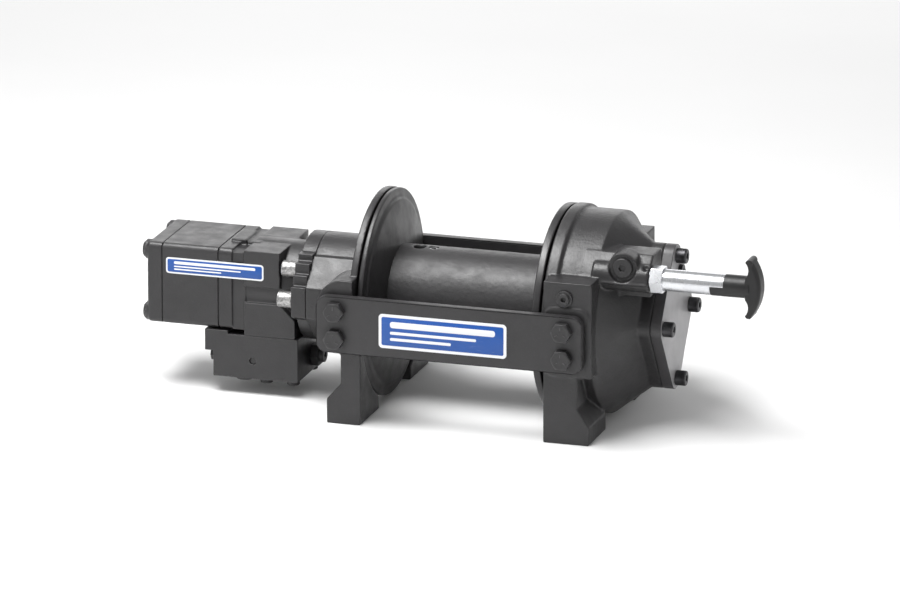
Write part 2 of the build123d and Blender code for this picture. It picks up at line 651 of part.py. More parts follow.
COVER_PLUG = (10.0, 46.0)
with BuildPart() as gear_end_cover:
    extrude(lozenge(across(END_FACE + 0.6)), amount=COVER_FACE - END_FACE - 0.6)
    tube(164, END_FACE + 0.6, 24, 0)
    tube(163, 190, 14, 0, mode=Mode.SUBTRACT)
    tube(END_FACE, COVER_FACE, 4.6, 0, COVER_BOLTS, Mode.SUBTRACT)
    tube(END_FACE, COVER_FACE, 5, 0, [COVER_PLUG], Mode.SUBTRACT)
save(gear_end_cover, "gear_end_cover")

with BuildPart() as end_cover_bolts:
    tube(COVER_FACE, COVER_FACE + 11, 7.8, 0, COVER_BOLTS)
    tube(175, COVER_FACE, 4.1, 0, COVER_BOLTS)
    hex_prism(across(COVER_FACE + 5), 6, 6, COVER_BOLTS, Mode.SUBTRACT)
save(end_cover_bolts, "end_cover_bolts")

with BuildPart() as end_cover_plug:
    tube(COVER_FACE - 8, COVER_FACE, 4.95, 0, [COVER_PLUG])
    tube(COVER_FACE, COVER_FACE + 4, 7, 0, [COVER_PLUG])
    hex_prism(across(COVER_FACE + 1), 5, 3, [COVER_PLUG], Mode.SUBTRACT)
save(end_cover_plug, "end_cover_plug")

with BuildPart() as shaft_end_bush:
    tube(165, 189, 14, 10 + RUNNING)
save(shaft_end_bush, "shaft_end_bush")

with BuildPart() as vent_plug:
    front_bores(5.9, -PAD_Y, -PAD_Y + 8, [VENT_AT], Mode.ADD)
    front_bores(8.5, -PAD_Y - 2.5, -PAD_Y, [VENT_AT], Mode.ADD)
    front_bores(6, -PAD_Y - 5, -PAD_Y - 2.5, [VENT_AT], Mode.ADD)
    hex_prism(facing_front(-PAD_Y - 2), 5, 3, [VENT_AT], Mode.SUBTRACT)
save(vent_plug, "vent_plug")

with BuildPart() as shifter_plug:
    front_bores(6, PLUG_FACE, PLUG_FACE + 2.5, [PLUG_AT], Mode.ADD)
    front_bores(10.3, PLUG_FACE - 3, PLUG_FACE, [PLUG_AT], Mode.ADD)
    chamfer(shifter_plug.faces().sort_by(Axis.Y)[0].edges(), 0.8)
    hex_prism(facing_front(PLUG_FACE - 0.5), 7, 3, [PLUG_AT], Mode.SUBTRACT)
save(shifter_plug, "shifter_plug")

# ---------------------------------------------------------------- gearing
PITCH_SUN, PITCH_PLANET, PITCH_RING = [MODULE * n / 2 for n in (SUN, PLANET, RING)]
TIP, ROOT = MODULE, 1.25 * MODULE


def sun_gear(start, end, bore):
    """Sun gear between two stations, with a tooth towards +Y."""
    with BuildSketch(across(start)) as profile:
        with BuildLine():
            gear_outline(SUN, PITCH_SUN + TIP, PITCH_SUN - ROOT)
        make_face()
        Circle(bore, mode=Mode.SUBTRACT)
    extrude(profile.sketch, amount=end - start)


with BuildPart() as ring_gear:
    tube(*RING_SPAN, RING_R)
    tube(*LOCK_FLANGE, 97)
    chamfer(ring_gear.faces().sort_by(Axis.X)[-1].edges(), 2)
    with BuildSketch(across(RING_SPAN[0])):
        with BuildLine():
            gear_outline(RING, PITCH_RING + ROOT, PITCH_RING - 0.9 * TIP, hollow=True)
        make_face()
    extrude(amount=RING_SPAN[1] - RING_SPAN[0], mode=Mode.SUBTRACT)
    lock_radius = (CLUTCH[0] ** 2 + CLUTCH[1] ** 2) ** 0.5
    lock_angle = atan2(CLUTCH[1], CLUTCH[0])
    notches = [at_angle(lock_radius, lock_angle + 2 * pi * n / LOCK_NOTCHES) for n in range(LOCK_NOTCHES)]
    tube(*LOCK_FLANGE, PLUNGER_TIP_R + 0.3, 0, notches, Mode.SUBTRACT)
save(ring_gear, "ring_gear")


def planet_gear(span, angle):
    """Planet whose tooth space points at the sun and whose opposite tooth points at the ring."""
    centre = at_angle(CENTRES, angle)
    with BuildSketch(Plane(origin=(span[0], centre[0], AXIS_Z + centre[1]), x_dir=(0, 1, 0),
                           z_dir=(1, 0, 0))) as profile:
        with BuildLine():
            gear_outline(PLANET, PITCH_PLANET + 0.95 * TIP, PITCH_PLANET - ROOT,
                         turn=angle + pi + pi / PLANET)
        make_face()
        Circle(PIN_RADIUS + RUNNING, mode=Mode.SUBTRACT)
    extrude(profile.sketch, amount=span[1] - span[0])


for stage, span in (("output", OUTPUT_GEARS), ("input", INPUT_GEARS)):
    for number, angle in enumerate(planet_places(), start=1):
        with BuildPart() as planet:
            planet_gear(span, angle)
        save(planet, f"{stage}_planet_{number}")

PIN_CENTRES = [at_angle(CENTRES, angle) for angle in planet_places()]

with BuildPart() as output_carrier:
    tube(66, 100, 38, 18)
    tube(100, 106.5, 60, 18)
    tube(96, 106.5, PIN_RADIUS - 2, 0, PIN_CENTRES, Mode.SUBTRACT)
save(output_carrier, "output_carrier")

with BuildPart() as output_planet_pins:
    tube(100.5, 106.5, PIN_RADIUS - 2, 0, PIN_CENTRES)
    tube(106.5, OUTPUT_GEARS[1] + 0.6, PIN_RADIUS, 0, PIN_CENTRES)
save(output_planet_pins, "output_planet_pins")

with BuildPart() as intermediate_carrier:
    sun_gear(OUTPUT_GEARS[0] + 0.2, 129, 12)
    tube(129, 134.4, 60, 12)
    tube(128, 134.4, PIN_RADIUS - 2, 0, PIN_CENTRES, Mode.SUBTRACT)
save(intermediate_carrier, "intermediate_carrier")

with BuildPart() as input_planet_pins:
    tube(129.2, 134.4, PIN_RADIUS - 2, 0, PIN_CENTRES)
    tube(134.4, INPUT_GEARS[1] + 0.6, PIN_RADIUS, 0, PIN_CENTRES)
save(input_planet_pins, "input_planet_pins")

with BuildPart() as input_sun_gear:
    sun_gear(INPUT_GEARS[0] - 0.2, INPUT_GEARS[1] + 0.5, 10)
save(input_sun_gear, "input_sun_gear")

with BuildPart() as drive_shaft:
    tube(-190, -172, 8)
    tube(-172, -150, HUB_DISC_R)
    tube(-150, 60, SHAFT_R)
    tube(60, 187, 10)
save(drive_shaft, "drive_shaft")

# ---------------------------------------------------------------- clutch shifter
SPRING_SEAT = 186.0
with BuildPart() as clutch_tube:
    tube(SPRING_SEAT, 199, 9.5, 4.4, [CLUTCH])
    tube(199, TUBE_ENDS[1], TUBE_R, 4.4, [CLUTCH])
    block(
        (TUBE_ENDS[0], CLUTCH[0] - 20, CLUTCH[1] - 20),
        (TUBE_ENDS[1], CLUTCH[0] + 20, CLUTCH[1]),
        Mode.SUBTRACT,
    )
save(clutch_tube, "clutch_tube")

with BuildPart() as clutch_jam_nut:
    hex_prism(across(NUT[0]), NUT_AF, NUT[1] - NUT[0], [CLUTCH])
    tube(*NUT, TUBE_R, 0, [CLUTCH], Mode.SUBTRACT)
save(clutch_jam_nut, "clutch_jam_nut")

with BuildPart() as clutch_plunger:
    tube(113, 151, PLUNGER_TIP_R, 0, [CLUTCH])
    tube(151, 156, PLUNGER_BORE - 0.1, 0, [CLUTCH])
    tube(156, 292, 4.3, 0, [CLUTCH])
save(clutch_plunger, "clutch_plunger")

SPRING_WIRE = 0.8
SPRING_COIL = 6.3
SPRING_LENGTH = 27.0
SPRING_TURNS = 6
with BuildPart() as clutch_spring:
    coil_plane = Plane(origin=(157.5, CLUTCH[0], AXIS_Z + CLUTCH[1]), x_dir=(0, 1, 0), z_dir=(1, 0, 0))
    coil = coil_plane.location * Helix(SPRING_LENGTH / SPRING_TURNS, SPRING_LENGTH, SPRING_COIL)
    with BuildSketch(Plane(origin=coil @ 0, z_dir=coil % 0)):
        Circle(SPRING_WIRE)
    sweep(path=coil)
save(clutch_spring, "clutch_spring")

with BuildPart() as clutch_t_handle:
    tube(TUBE_ENDS[0], T_BAR[0] + 4, HANDLE_R, 0, [CLUTCH])
    block(
        (TUBE_ENDS[0], CLUTCH[0] - 20, CLUTCH[1]),
        (TUBE_ENDS[1], CLUTCH[0] + 20, CLUTCH[1] + 20),
        Mode.SUBTRACT,
    )
    with BuildSketch(Plane(origin=(0, CLUTCH[0] + T_WIDTH / 2, AXIS_Z + CLUTCH[1]), x_dir=(1, 0, 0),
                           z_dir=(0, -1, 0))):
        with BuildLine():
            ThreePointArc((307.5, T_HALF - 3), (T_BAR[1], 0), (307.5, 3 - T_HALF))
            ThreePointArc((307.5, 3 - T_HALF), (303.5, -T_HALF), (T_BAR[0], 3 - T_HALF))
            ThreePointArc((T_BAR[0], 3 - T_HALF), (T_BAR[0] + 3, -18), (T_BAR[0], -HANDLE_R))
            Line((T_BAR[0], -HANDLE_R), (T_BAR[0], HANDLE_R))
            ThreePointArc((T_BAR[0], HANDLE_R), (T_BAR[0] + 3, 18), (T_BAR[0], T_HALF - 3))
            ThreePointArc((T_BAR[0], T_HALF - 3), (303.5, T_HALF), (307.5, T_HALF - 3))
        make_face()
    extrude(amount=T_WIDTH)
    fillet(clutch_t_handle.edges().group_by(Axis.X)[-1], 4)
    tube(TUBE_ENDS[0], 292, 4.3, 0, [CLUTCH], Mode.SUBTRACT)
save(clutch_t_handle, "clutch_t_handle")
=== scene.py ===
import json
from math import cos, pi, radians, sin, tan

import bmesh
import bpy
from mathutils import Matrix, Vector, noise


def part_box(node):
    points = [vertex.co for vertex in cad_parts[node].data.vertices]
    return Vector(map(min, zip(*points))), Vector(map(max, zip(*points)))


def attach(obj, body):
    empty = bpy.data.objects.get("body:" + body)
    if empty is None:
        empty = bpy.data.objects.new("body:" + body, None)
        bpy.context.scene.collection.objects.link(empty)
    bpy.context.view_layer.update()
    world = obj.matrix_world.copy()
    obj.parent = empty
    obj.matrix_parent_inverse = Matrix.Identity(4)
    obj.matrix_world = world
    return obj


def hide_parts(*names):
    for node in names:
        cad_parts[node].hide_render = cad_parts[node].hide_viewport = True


# The looks of a hydraulic planetary winch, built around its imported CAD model. Lengths in the helpers are
# millimetres in the CAD's own frame: +X along the drum towards the clutch handle, +Y to the back, +Z up.

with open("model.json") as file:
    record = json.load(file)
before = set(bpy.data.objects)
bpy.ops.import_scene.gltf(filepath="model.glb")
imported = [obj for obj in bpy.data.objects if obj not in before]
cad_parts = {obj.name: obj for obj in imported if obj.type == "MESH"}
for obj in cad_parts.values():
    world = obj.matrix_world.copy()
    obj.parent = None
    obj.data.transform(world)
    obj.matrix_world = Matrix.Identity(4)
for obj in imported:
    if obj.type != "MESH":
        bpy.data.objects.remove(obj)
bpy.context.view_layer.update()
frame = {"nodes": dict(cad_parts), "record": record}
MM = 0.001

# ---------------------------------------------------------------- camera and light
AIM = (-37.7, 0.0, 106.5)
CAMERA_AZIMUTH = radians(17.5)
CAMERA_ELEVATION = radians(16.5)
CAMERA_DISTANCE = 10277.0
CAMERA_LENS = 400.0
FLOOR_HALF = 40.0           # metres
WORLD_LIGHT = 0.42
LIGHTS_AT = (0.0, 0.0, 0.1)     # metres

SENSOR_WIDTH = 36.0
CLIP_NEAR = 0.05            # metres
CLIP_FAR = 100.0            # metres

# ---------------------------------------------------------------- fasteners and threads
TIE_BOLT_FLATS = 19.05      # 3/4 inch hexagon
TIE_BOLT_SHANK_R = 6.35
MOTOR_BOLT_FLATS = 15.0
MOTOR_BOLT_HEAD = 9.0
MOTOR_BOLT_SHANK_R = 5.0
MOUNT_FLANGE = 16.0         # thickness of the motor's mounting flange
FOOT_THREAD = {"pitch": 2.31, "length": 22.0, "depth": 1.1}
PORT_THREAD = {"pitch": 1.81, "length": 15.0, "depth": 0.9}
THREAD_CLEARANCE = 0.05     # how far the thread's crests stand inside the hole's wall
PORT_CHAMFER = 1.2

# ---------------------------------------------------------------- paint colours, linear
CHARCOAL = (0.0190, 0.0182, 0.0192)
# painted reflection: the light grey of the end cover's face stands in for the bright reflection on it
COVER_FACE_REFLECTION = (0.30, 0.295, 0.303)
LABEL_BLUE = (0.007, 0.075, 0.33)
LABEL_WHITE = (0.80, 0.81, 0.83)


# ---------------------------------------------------------------- materials
# the colour sockets of a Mix node, which share their names with its other kinds of socket
MIX_A, MIX_B, MIX_RESULT = 6, 7, 2


class Shader:
    """One material's node tree, with a short call for each kind of node that it uses."""

    def __init__(self, name):
        self.material = bpy.data.materials.new(name)
        self.material.use_nodes = True
        tree = self.material.node_tree
        self.nodes = tree.nodes
        self.links = tree.links
        self.surface = tree.nodes["Principled BSDF"]
        self.place = self.nodes.new("ShaderNodeTexCoord").outputs["Object"]

    def join(self, source, socket):
        """Feeds a socket from another node's output, or sets it to a plain value."""
        if isinstance(source, bpy.types.NodeSocket):
            self.links.new(source, socket)
        elif isinstance(source, tuple) and len(source) == 3 and socket.type == "RGBA":
            socket.default_value = (*source, 1.0)
        else:
            socket.default_value = source

    def set(self, **values):
        for name, value in values.items():
            self.join(value, self.surface.inputs[name.replace("_", " ").title()])

    def stretched(self, scale):
        """Object coordinates scaled apart along the three axes."""
        node = self.nodes.new("ShaderNodeMapping")
        node.inputs["Scale"].default_value = scale
        self.links.new(self.place, node.inputs["Vector"])
        return node.outputs["Vector"]

    def noise(self, scale, detail=3.0, rough=0.5, place=None):
        node = self.nodes.new("ShaderNodeTexNoise")
        node.inputs["Scale"].default_value = scale
        node.inputs["Detail"].default_value = detail
        node.inputs["Roughness"].default_value = rough
        self.links.new(place or self.place, node.inputs["Vector"])
        return node.outputs["Fac"]

    def spread(self, value, low, high, to_low=0.0, to_high=1.0):
        """Remaps low..high to to_low..to_high, clamped."""
        node = self.nodes.new("ShaderNodeMapRange")
        for name, number in (
            ("From Min", low), ("From Max", high), ("To Min", to_low), ("To Max", to_high),
        ):
            node.inputs[name].default_value = number
        self.links.new(value, node.inputs["Value"])
        return node.outputs["Result"]

    def maths(self, operation, a, b):
        node = self.nodes.new("ShaderNodeMath")
        node.operation = operation
        self.join(a, node.inputs[0])
        self.join(b, node.inputs[1])
        return node.outputs["Value"]

    def mix(self, factor, a, b):
        node = self.nodes.new("ShaderNodeMix")
        node.data_type = "RGBA"
        self.join(factor, node.inputs["Factor"])
        self.join(a, node.inputs[MIX_A])
        self.join(b, node.inputs[MIX_B])
        return node.outputs[MIX_RESULT]

    def corners(self, distance, inside):
        """Light on open surfaces and dark in corners, or with `inside` dark near outer edges."""
        node = self.nodes.new("ShaderNodeAmbientOcclusion")
        node.samples = 6
        node.inside = inside
        node.only_local = inside
        node.inputs["Distance"].default_value = distance
        return node.outputs["AO"]

    def bump(self, height, depth, strength=1.0, under=None):
        node = self.nodes.new("ShaderNodeBump")
        node.inputs["Strength"].default_value = strength
        node.inputs["Distance"].default_value = depth
        self.links.new(height, node.inputs["Height"])
        if under is not None:
            self.links.new(under, node.inputs["Normal"])
        return node.outputs["Normal"]


def shade(colour, factor):
    return tuple(channel * factor for channel in colour)


def paint(name, colour, rough, lumps, grain, wear_and_highlight=0.35):
    """Satin enamel. `lumps` and `grain` are the depths in metres of the casting's waves and of its skin."""
    s = Shader(name)
    cloudy = s.mix(s.spread(s.noise(14.0, 5.0, 0.6), 0.35, 0.65), shade(colour, 0.88), shade(colour, 1.14))
    dusty = s.mix(s.spread(s.noise(900.0, 2.0), 0.58, 0.72, 0.0, 0.30), cloudy, shade(colour, 2.0))
    # painted shade: an occlusion mask darkens the colour towards 0.45 of itself in corners, creases and
    # between parts
    painted_corner_shade = s.spread(s.corners(0.007, False), 0.35, 0.95, 0.55, 0.0)
    corner_shaded = s.mix(painted_corner_shade, dusty, shade(colour, 0.45))
    # edges lighter in patches: partly paint rubbed off the edges, partly a painted highlight standing in for
    # the light that rounded edges catch
    edges = s.spread(s.corners(0.0016, True), 0.50, 0.86, 1.0, 0.0)
    patchy = s.spread(s.noise(260.0, 5.0, 0.7), 0.42, 0.62)
    edge_wear_and_highlight = s.maths("MULTIPLY", s.maths("MULTIPLY", edges, patchy), wear_and_highlight)
    s.set(base_color=s.mix(edge_wear_and_highlight, corner_shaded, shade(colour, 5.5)))
    s.set(roughness=s.spread(s.noise(70.0, 4.0), 0.3, 0.7, rough - 0.06, rough + 0.08))
    skin = s.bump(s.noise(1500.0, 2.0), grain)
    s.set(normal=s.bump(s.noise(330.0, 4.0, 0.6), lumps, under=skin))
    s.surface.inputs["Specular IOR Level"].default_value = 0.55
    return s.material


def cover_paint_face_reflection(name, face_reflection_colour, edge_colour, rough, grain):
    """A dark painted edge and a light grey end face, told apart by which way the surface points; the light
    face is a painted reflection.
    """
    s = Shader(name)
    apart = s.nodes.new("ShaderNodeSeparateXYZ")
    s.links.new(s.nodes.new("ShaderNodeTexCoord").outputs["Normal"], apart.inputs["Vector"])
    # painted reflection: surfaces facing along +X get the light face colour in place of the dark paint
    is_face = s.spread(apart.outputs["X"], 0.80, 0.95)
    cloudy = s.spread(s.noise(30.0, 5.0, 0.6), 0.35, 0.68)
    face = s.mix(cloudy, shade(face_reflection_colour, 0.90), shade(face_reflection_colour, 1.08))
    edge = s.mix(cloudy, shade(edge_colour, 0.88), shade(edge_colour, 1.14))
    painted = s.mix(is_face, edge, face)
    # painted shade: an occlusion mask darkens corners and crevices towards a darker edge colour
    painted_corner_shade = s.spread(s.corners(0.006, False), 0.35, 0.95, 0.45, 0.0)
    s.set(base_color=s.mix(painted_corner_shade, painted, shade(edge_colour, 0.6)))
    s.set(roughness=s.spread(s.noise(70.0, 4.0), 0.3, 0.7, rough - 0.05, rough + 0.08))
    s.set(normal=s.bump(s.noise(900.0, 3.0), grain))
    return s.material


def metal(name, colour, rough, lines, depth, oil=0.25, tone=0.12):
    """Bare metal. `lines` scales the noise on the three axes, so that its marks run as they were cut."""
    s = Shader(name)
    marks = s.noise(1.0, 4.0, 0.6, s.stretched(lines))
    cloudy = s.spread(s.noise(60.0, 4.0, 0.6), 0.35, 0.68)
    clean = s.mix(s.spread(marks, 0.3, 0.7), shade(colour, 1.0 - tone), shade(colour, 1.0 + tone * 0.7))
    s.set(base_color=s.mix(s.maths("MULTIPLY", cloudy, oil), clean, shade(colour, 0.42)))
    s.set(roughness=s.maths("ADD", s.spread(marks, 0.3, 0.7, rough - 0.05, rough + 0.06),
                            s.maths("MULTIPLY", cloudy, 0.07)))
    s.set(metallic=1.0)
    s.set(normal=s.bump(marks, depth))
    return s.material


def rough_steel(name, colour):
    """Bright steel screws with a lumpy, half bare skin."""
    s = Shader(name)
    scale = s.noise(420.0, 5.0, 0.7)
    s.set(base_color=s.mix(s.spread(scale, 0.36, 0.62), shade(colour, 0.35), colour))
    s.set(metallic=s.spread(scale, 0.30, 0.50, 0.55, 1.0))
    s.set(roughness=s.spread(scale, 0.35, 0.65, 0.55, 0.30))
    s.set(normal=s.bump(scale, 0.00035))
    return s.material


def zinc(name, lines):
    """Bright plate over turned steel."""
    s = Shader(name)
    marks = s.noise(1.0, 3.0, 0.5, s.stretched(lines))
    bloom = s.spread(s.noise(45.0, 3.0, 0.5), 0.4, 0.75)
    s.set(base_color=s.mix(bloom, (0.72, 0.73, 0.75), (0.64, 0.65, 0.675)))
    s.set(roughness=s.maths("ADD", s.spread(marks, 0.3, 0.7, 0.24, 0.28), s.maths("MULTIPLY", bloom, 0.05)))
    s.set(metallic=1.0)
    s.set(normal=s.bump(marks, 0.000008))
    return s.material


def plastic(name, colour, rough):
    """Moulded plastic with a fine spark-eroded grain."""
    s = Shader(name)
    s.set(base_color=s.mix(s.spread(s.noise(40.0, 4.0), 0.35, 0.7), shade(colour, 0.85), shade(colour, 1.5)))
    s.set(roughness=s.spread(s.noise(220.0, 3.0), 0.3, 0.7, rough - 0.05, rough + 0.07))
    s.set(normal=s.bump(s.noise(2600.0, 2.0), 0.00005))
    return s.material


def fibrous(name, colour, rough, scale, depth, metallic=0.0):
    """Gasket fibre, nitrile rubber, brake lining and sintered bronze: a speckled, pitted surface."""
    s = Shader(name)
    specks = s.noise(scale, 4.0, 0.7)
    s.set(base_color=s.mix(s.spread(specks, 0.35, 0.66), shade(colour, 0.6), shade(colour, 1.4)))
    s.set(roughness=s.spread(specks, 0.3, 0.7, rough - 0.08, rough + 0.08))
    s.set(metallic=metallic)
    s.set(normal=s.bump(specks, depth))
    return s.material


def printed(name, colour):
    """Printed vinyl with faint scuffs."""
    s = Shader(name)
    scuffs = s.spread(s.noise(1.0, 6.0, 0.7, s.stretched((90.0, 400.0, 700.0))), 0.58, 0.75)
    s.set(base_color=s.mix(s.maths("MULTIPLY", scuffs, 0.16), colour, (0.45, 0.46, 0.48)))
    s.set(roughness=s.spread(scuffs, 0.0, 1.0, 0.28, 0.5))
    s.set(normal=s.bump(s.noise(1200.0, 2.0), 0.00003))
    return s.material


TURNED = (9000.0, 60.0, 60.0)       # rings about the drum axis
DRAWN = (60.0, 2500.0, 2500.0)      # streaks along the drum axis

CAST_PAINT = paint("cast_paint", CHARCOAL, 0.40, 0.00030, 0.00008)
MOTOR_PAINT = paint("motor_paint_satin", CHARCOAL, 0.40, 0.00020, 0.00006, wear_and_highlight=0.5)
PLATE_PAINT = paint("plate_paint_satin", shade(CHARCOAL, 1.1), 0.42, 0.00010, 0.00004)
DRUM_PAINT = paint("drum_paint_satin", shade(CHARCOAL, 0.95), 0.36, 0.00016, 0.00006)
BARREL_PAINT = paint("barrel_paint", shade(CHARCOAL, 1.05), 0.46, 0.00020, 0.00012)
BOLT_PAINT = paint("bolt_paint_satin", shade(CHARCOAL, 0.9), 0.42, 0.00016, 0.00006, wear_and_highlight=0.9)
COVER_PAINT_FACE_REFLECTION = cover_paint_face_reflection("cover_paint_face_reflection", COVER_FACE_REFLECTION, shade(CHARCOAL, 2.2), 0.38, 0.00010)
MACHINED = metal("machined", (0.46, 0.46, 0.465), 0.30, TURNED, 0.00004)
GEAR_STEEL = metal("gear_steel", (0.38, 0.375, 0.37), 0.30, DRAWN, 0.00003, oil=0.45)
SPRING_STEEL = metal("spring_steel", (0.22, 0.22, 0.235), 0.34, DRAWN, 0.00003, oil=0.5)
SCREW_STEEL = rough_steel("screw_steel", (0.50, 0.495, 0.49))
EVEN = (900.0, 900.0, 900.0)        # the same in every direction
BLACK_OXIDE = metal("black_oxide", (0.075, 0.074, 0.078), 0.38, EVEN, 0.00008, oil=0.5, tone=0.4)
ZINC_TUBE = zinc("zinc_tube", TURNED)
ZINC_NUT = zinc("zinc_nut", (60.0, 60.0, 60.0))
HANDLE_PLASTIC = plastic("handle_plastic", (0.006, 0.0059, 0.0063), 0.42)
BRONZE = fibrous("sintered_bronze", (0.52, 0.36, 0.20), 0.36, 1600.0, 0.00004, metallic=1.0)
GASKET = fibrous("gasket_fibre", (0.016, 0.016, 0.016), 0.75, 1100.0, 0.0001)
RUBBER = fibrous("nitrile", (0.018, 0.018, 0.018), 0.55, 700.0, 0.00004)
LINING = fibrous("brake_lining", (0.12, 0.10, 0.08), 0.85, 800.0, 0.00012)
BLUE = printed("label_blue", LABEL_BLUE)
WHITE = printed("label_white", LABEL_WHITE)

# CAD nodes that keep their own shape, by the material they get
KEPT = {
    GASKET: ("motor_gaskets", "end_cover_gasket"),
    RUBBER: ("motor_shaft_seal", "drum_seal_motor_side"),
    LINING: ("brake_friction_discs",),
    BRONZE: (
        "motor_shaft_bushes", "shaft_support_bearing", "drum_bushing_motor_side",
        "drum_bushing_gear_side", "shaft_end_bush",
    ),
    SPRING_STEEL: ("clutch_spring", "brake_disc_springs"),
    MACHINED: (
        "brake_steel_plates", "brake_piston", "output_carrier", "output_planet_pins",
        "input_planet_pins", "drive_shaft", "motor_shaft", "clutch_plunger", "rope_anchor_screw",
    ),
    GEAR_STEEL: (
        "gerotor_outer_rotor", "gerotor_inner_rotor", "ring_gear", "intermediate_carrier", "input_sun_gear",
        "output_planet_1", "output_planet_2", "output_planet_3",
        "input_planet_1", "input_planet_2", "input_planet_3",
    ),
}


# ---------------------------------------------------------------- mesh helpers
def new_piece(name, mesh, body, material):
    piece = bpy.data.objects.new(name, mesh)
    bpy.context.scene.collection.objects.link(piece)
    mesh.materials.clear()
    mesh.materials.append(material)
    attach(piece, body)
    return piece


def welded(node):
    """A CAD node's surface as a bmesh with its faces joined up again and its flat faces in one piece."""
    source = frame["nodes"][node].data
    plain = bpy.data.meshes.new(node + "_copy")
    plain.from_pydata([v.co for v in source.vertices], [], [list(p.vertices) for p in source.polygons])
    bm = bmesh.new()
    bm.from_mesh(plain)
    bpy.data.meshes.remove(plain)
    bmesh.ops.remove_doubles(bm, verts=bm.verts, dist=1e-6)
    bmesh.ops.dissolve_limit(bm, angle_limit=radians(0.25), verts=bm.verts, edges=bm.edges)
    return bm


def islands(node):
    """The (low, high) boxes in millimetres of a CAD node's separate solids."""
    bm = welded(node)
    seen, boxes = set(), []
    for start in bm.verts:
        if start in seen:
            continue
        found, queue = [], [start]
        seen.add(start)
        while queue:
            vert = queue.pop()
            found.append(vert.co / MM)
            for edge in vert.link_edges:
                other = edge.other_vert(vert)
                if other not in seen:
                    seen.add(other)
                    queue.append(other)
        boxes.append((
            Vector([min(p[i] for p in found) for i in range(3)]),
            Vector([max(p[i] for p in found) for i in range(3)]),
        ))
    bm.free()
    return boxes


def finished(source, name):
    """A new mesh with an object's modifiers applied; the object and its old mesh are removed."""
    bpy.context.view_layer.update()
    graph = bpy.context.evaluated_depsgraph_get()
    mesh = bpy.data.meshes.new_from_object(source.evaluated_get(graph), depsgraph=graph)
    mesh.name = name
    stale = source.data
    bpy.data.objects.remove(source)
    bpy.data.meshes.remove(stale)
    return mesh


def scratch(mesh):
    worker = bpy.data.objects.new("worker", mesh)
    bpy.context.scene.collection.objects.link(worker)
    return worker


def body_of_node(node):
    for body, members in frame["record"]["behaviour"]["bodies"].items():
        if node in members:
            return body
    raise ValueError(node)


def rounded(node, width, material, segments=2, angle=28.0):
    """A copy of a CAD node with its edges rounded, which stands for it."""
    bm = welded(node)
    mesh = bpy.data.meshes.new(node + "_edges")
    bm.to_mesh(mesh)
    bm.free()
    mesh.polygons.foreach_set("use_smooth", [True] * len(mesh.polygons))
    worker = scratch(mesh)
    bevel = worker.modifiers.new("bevel", "BEVEL")
    bevel.limit_method = "ANGLE"
    bevel.angle_limit = radians(angle)
    bevel.width = width * MM
    bevel.segments = segments
    bevel.use_clamp_overlap = False
    bevel.miter_outer = "MITER_ARC"
    weighted = worker.modifiers.new("normals", "WEIGHTED_NORMAL")
    weighted.weight = 60
    piece = new_piece(node + "_rounded", finished(worker, node + "_rounded"), body_of_node(node),
                      material)
    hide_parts(node)


def cast(node, voxel, rounds, material, lump=0.0, lump_size=4.0, keep=0.4):
    """A copy of a CAD node as it comes from a mould: corners blended, skin slightly wavy."""
    bm = welded(node)
    bmesh.ops.triangulate(bm, faces=bm.faces)
    mesh = bpy.data.meshes.new(node + "_mould")
    bm.to_mesh(mesh)
    bm.free()
    worker = scratch(mesh)
    remesh = worker.modifiers.new("voxels", "REMESH")
    remesh.mode = "VOXEL"
    remesh.voxel_size = voxel * MM
    remesh.use_smooth_shade = True
    smooth = worker.modifiers.new("blend", "SMOOTH")
    smooth.factor = 0.5
    smooth.iterations = rounds
    mesh = finished(worker, node + "_cast")
    if lump:
        # every normal is read before any point moves, because moving one makes all of them stale
        normals = [normal.vector.copy() for normal in mesh.vertex_normals]
        moved = []
        for vert, normal in zip(mesh.vertices, normals):
            broad = noise.noise(vert.co / (lump_size * MM))
            fine = noise.noise(vert.co / (lump_size * 0.4 * MM))
            wave = broad + 0.4 * fine
            moved.extend(vert.co + normal * (wave * lump * MM))
        mesh.vertices.foreach_set("co", moved)
        mesh.update()
    worker = scratch(mesh)
    fewer = worker.modifiers.new("fewer", "DECIMATE")
    fewer.ratio = keep
    mesh = finished(worker, node + "_cast")
    mesh.polygons.foreach_set("use_smooth", [True] * len(mesh.polygons))
    piece = new_piece(node + "_cast", mesh, body_of_node(node), material)
    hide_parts(node)


def rings_to_mesh(name, rings, loop=False, sharp=32.0):
    """Skin over rings of equally many points, in millimetres, closed by end caps or by its own loop."""
    bm = bmesh.new()
    rows = [[bm.verts.new(Vector(point) * MM) for point in ring] for ring in rings]
    pairs = list(zip(rows, rows[1:]))
    if loop:
        pairs.append((rows[-1], rows[0]))
    count = len(rows[0])
    for near, far in pairs:
        for i in range(count):
            j = (i + 1) % count
            bm.faces.new((near[i], near[j], far[j], far[i]))
    if not loop:
        bm.faces.new(list(reversed(rows[0])))
        bm.faces.new(rows[-1])
    bmesh.ops.recalc_face_normals(bm, faces=bm.faces)
    mesh = bpy.data.meshes.new(name)
    bm.to_mesh(mesh)
    bm.free()
    mesh.polygons.foreach_set("use_smooth", [True] * len(mesh.polygons))
    mesh.set_sharp_from_angle(angle=radians(sharp))
    return mesh


def joined(name, meshes):
    """Several meshes in one."""
    bm = bmesh.new()
    for mesh in meshes:
        bm.from_mesh(mesh)
        bpy.data.meshes.remove(mesh)
    mesh = bpy.data.meshes.new(name)
    bm.to_mesh(mesh)
    bm.free()
    return mesh


def pointing(direction, at):
    """Matrix that puts local +Z along a direction, with its origin at a point in millimetres."""
    turn = Vector(direction).to_track_quat("Z", "Y").to_matrix().to_4x4()
    return Matrix.Translation(Vector(at) * MM) @ turn


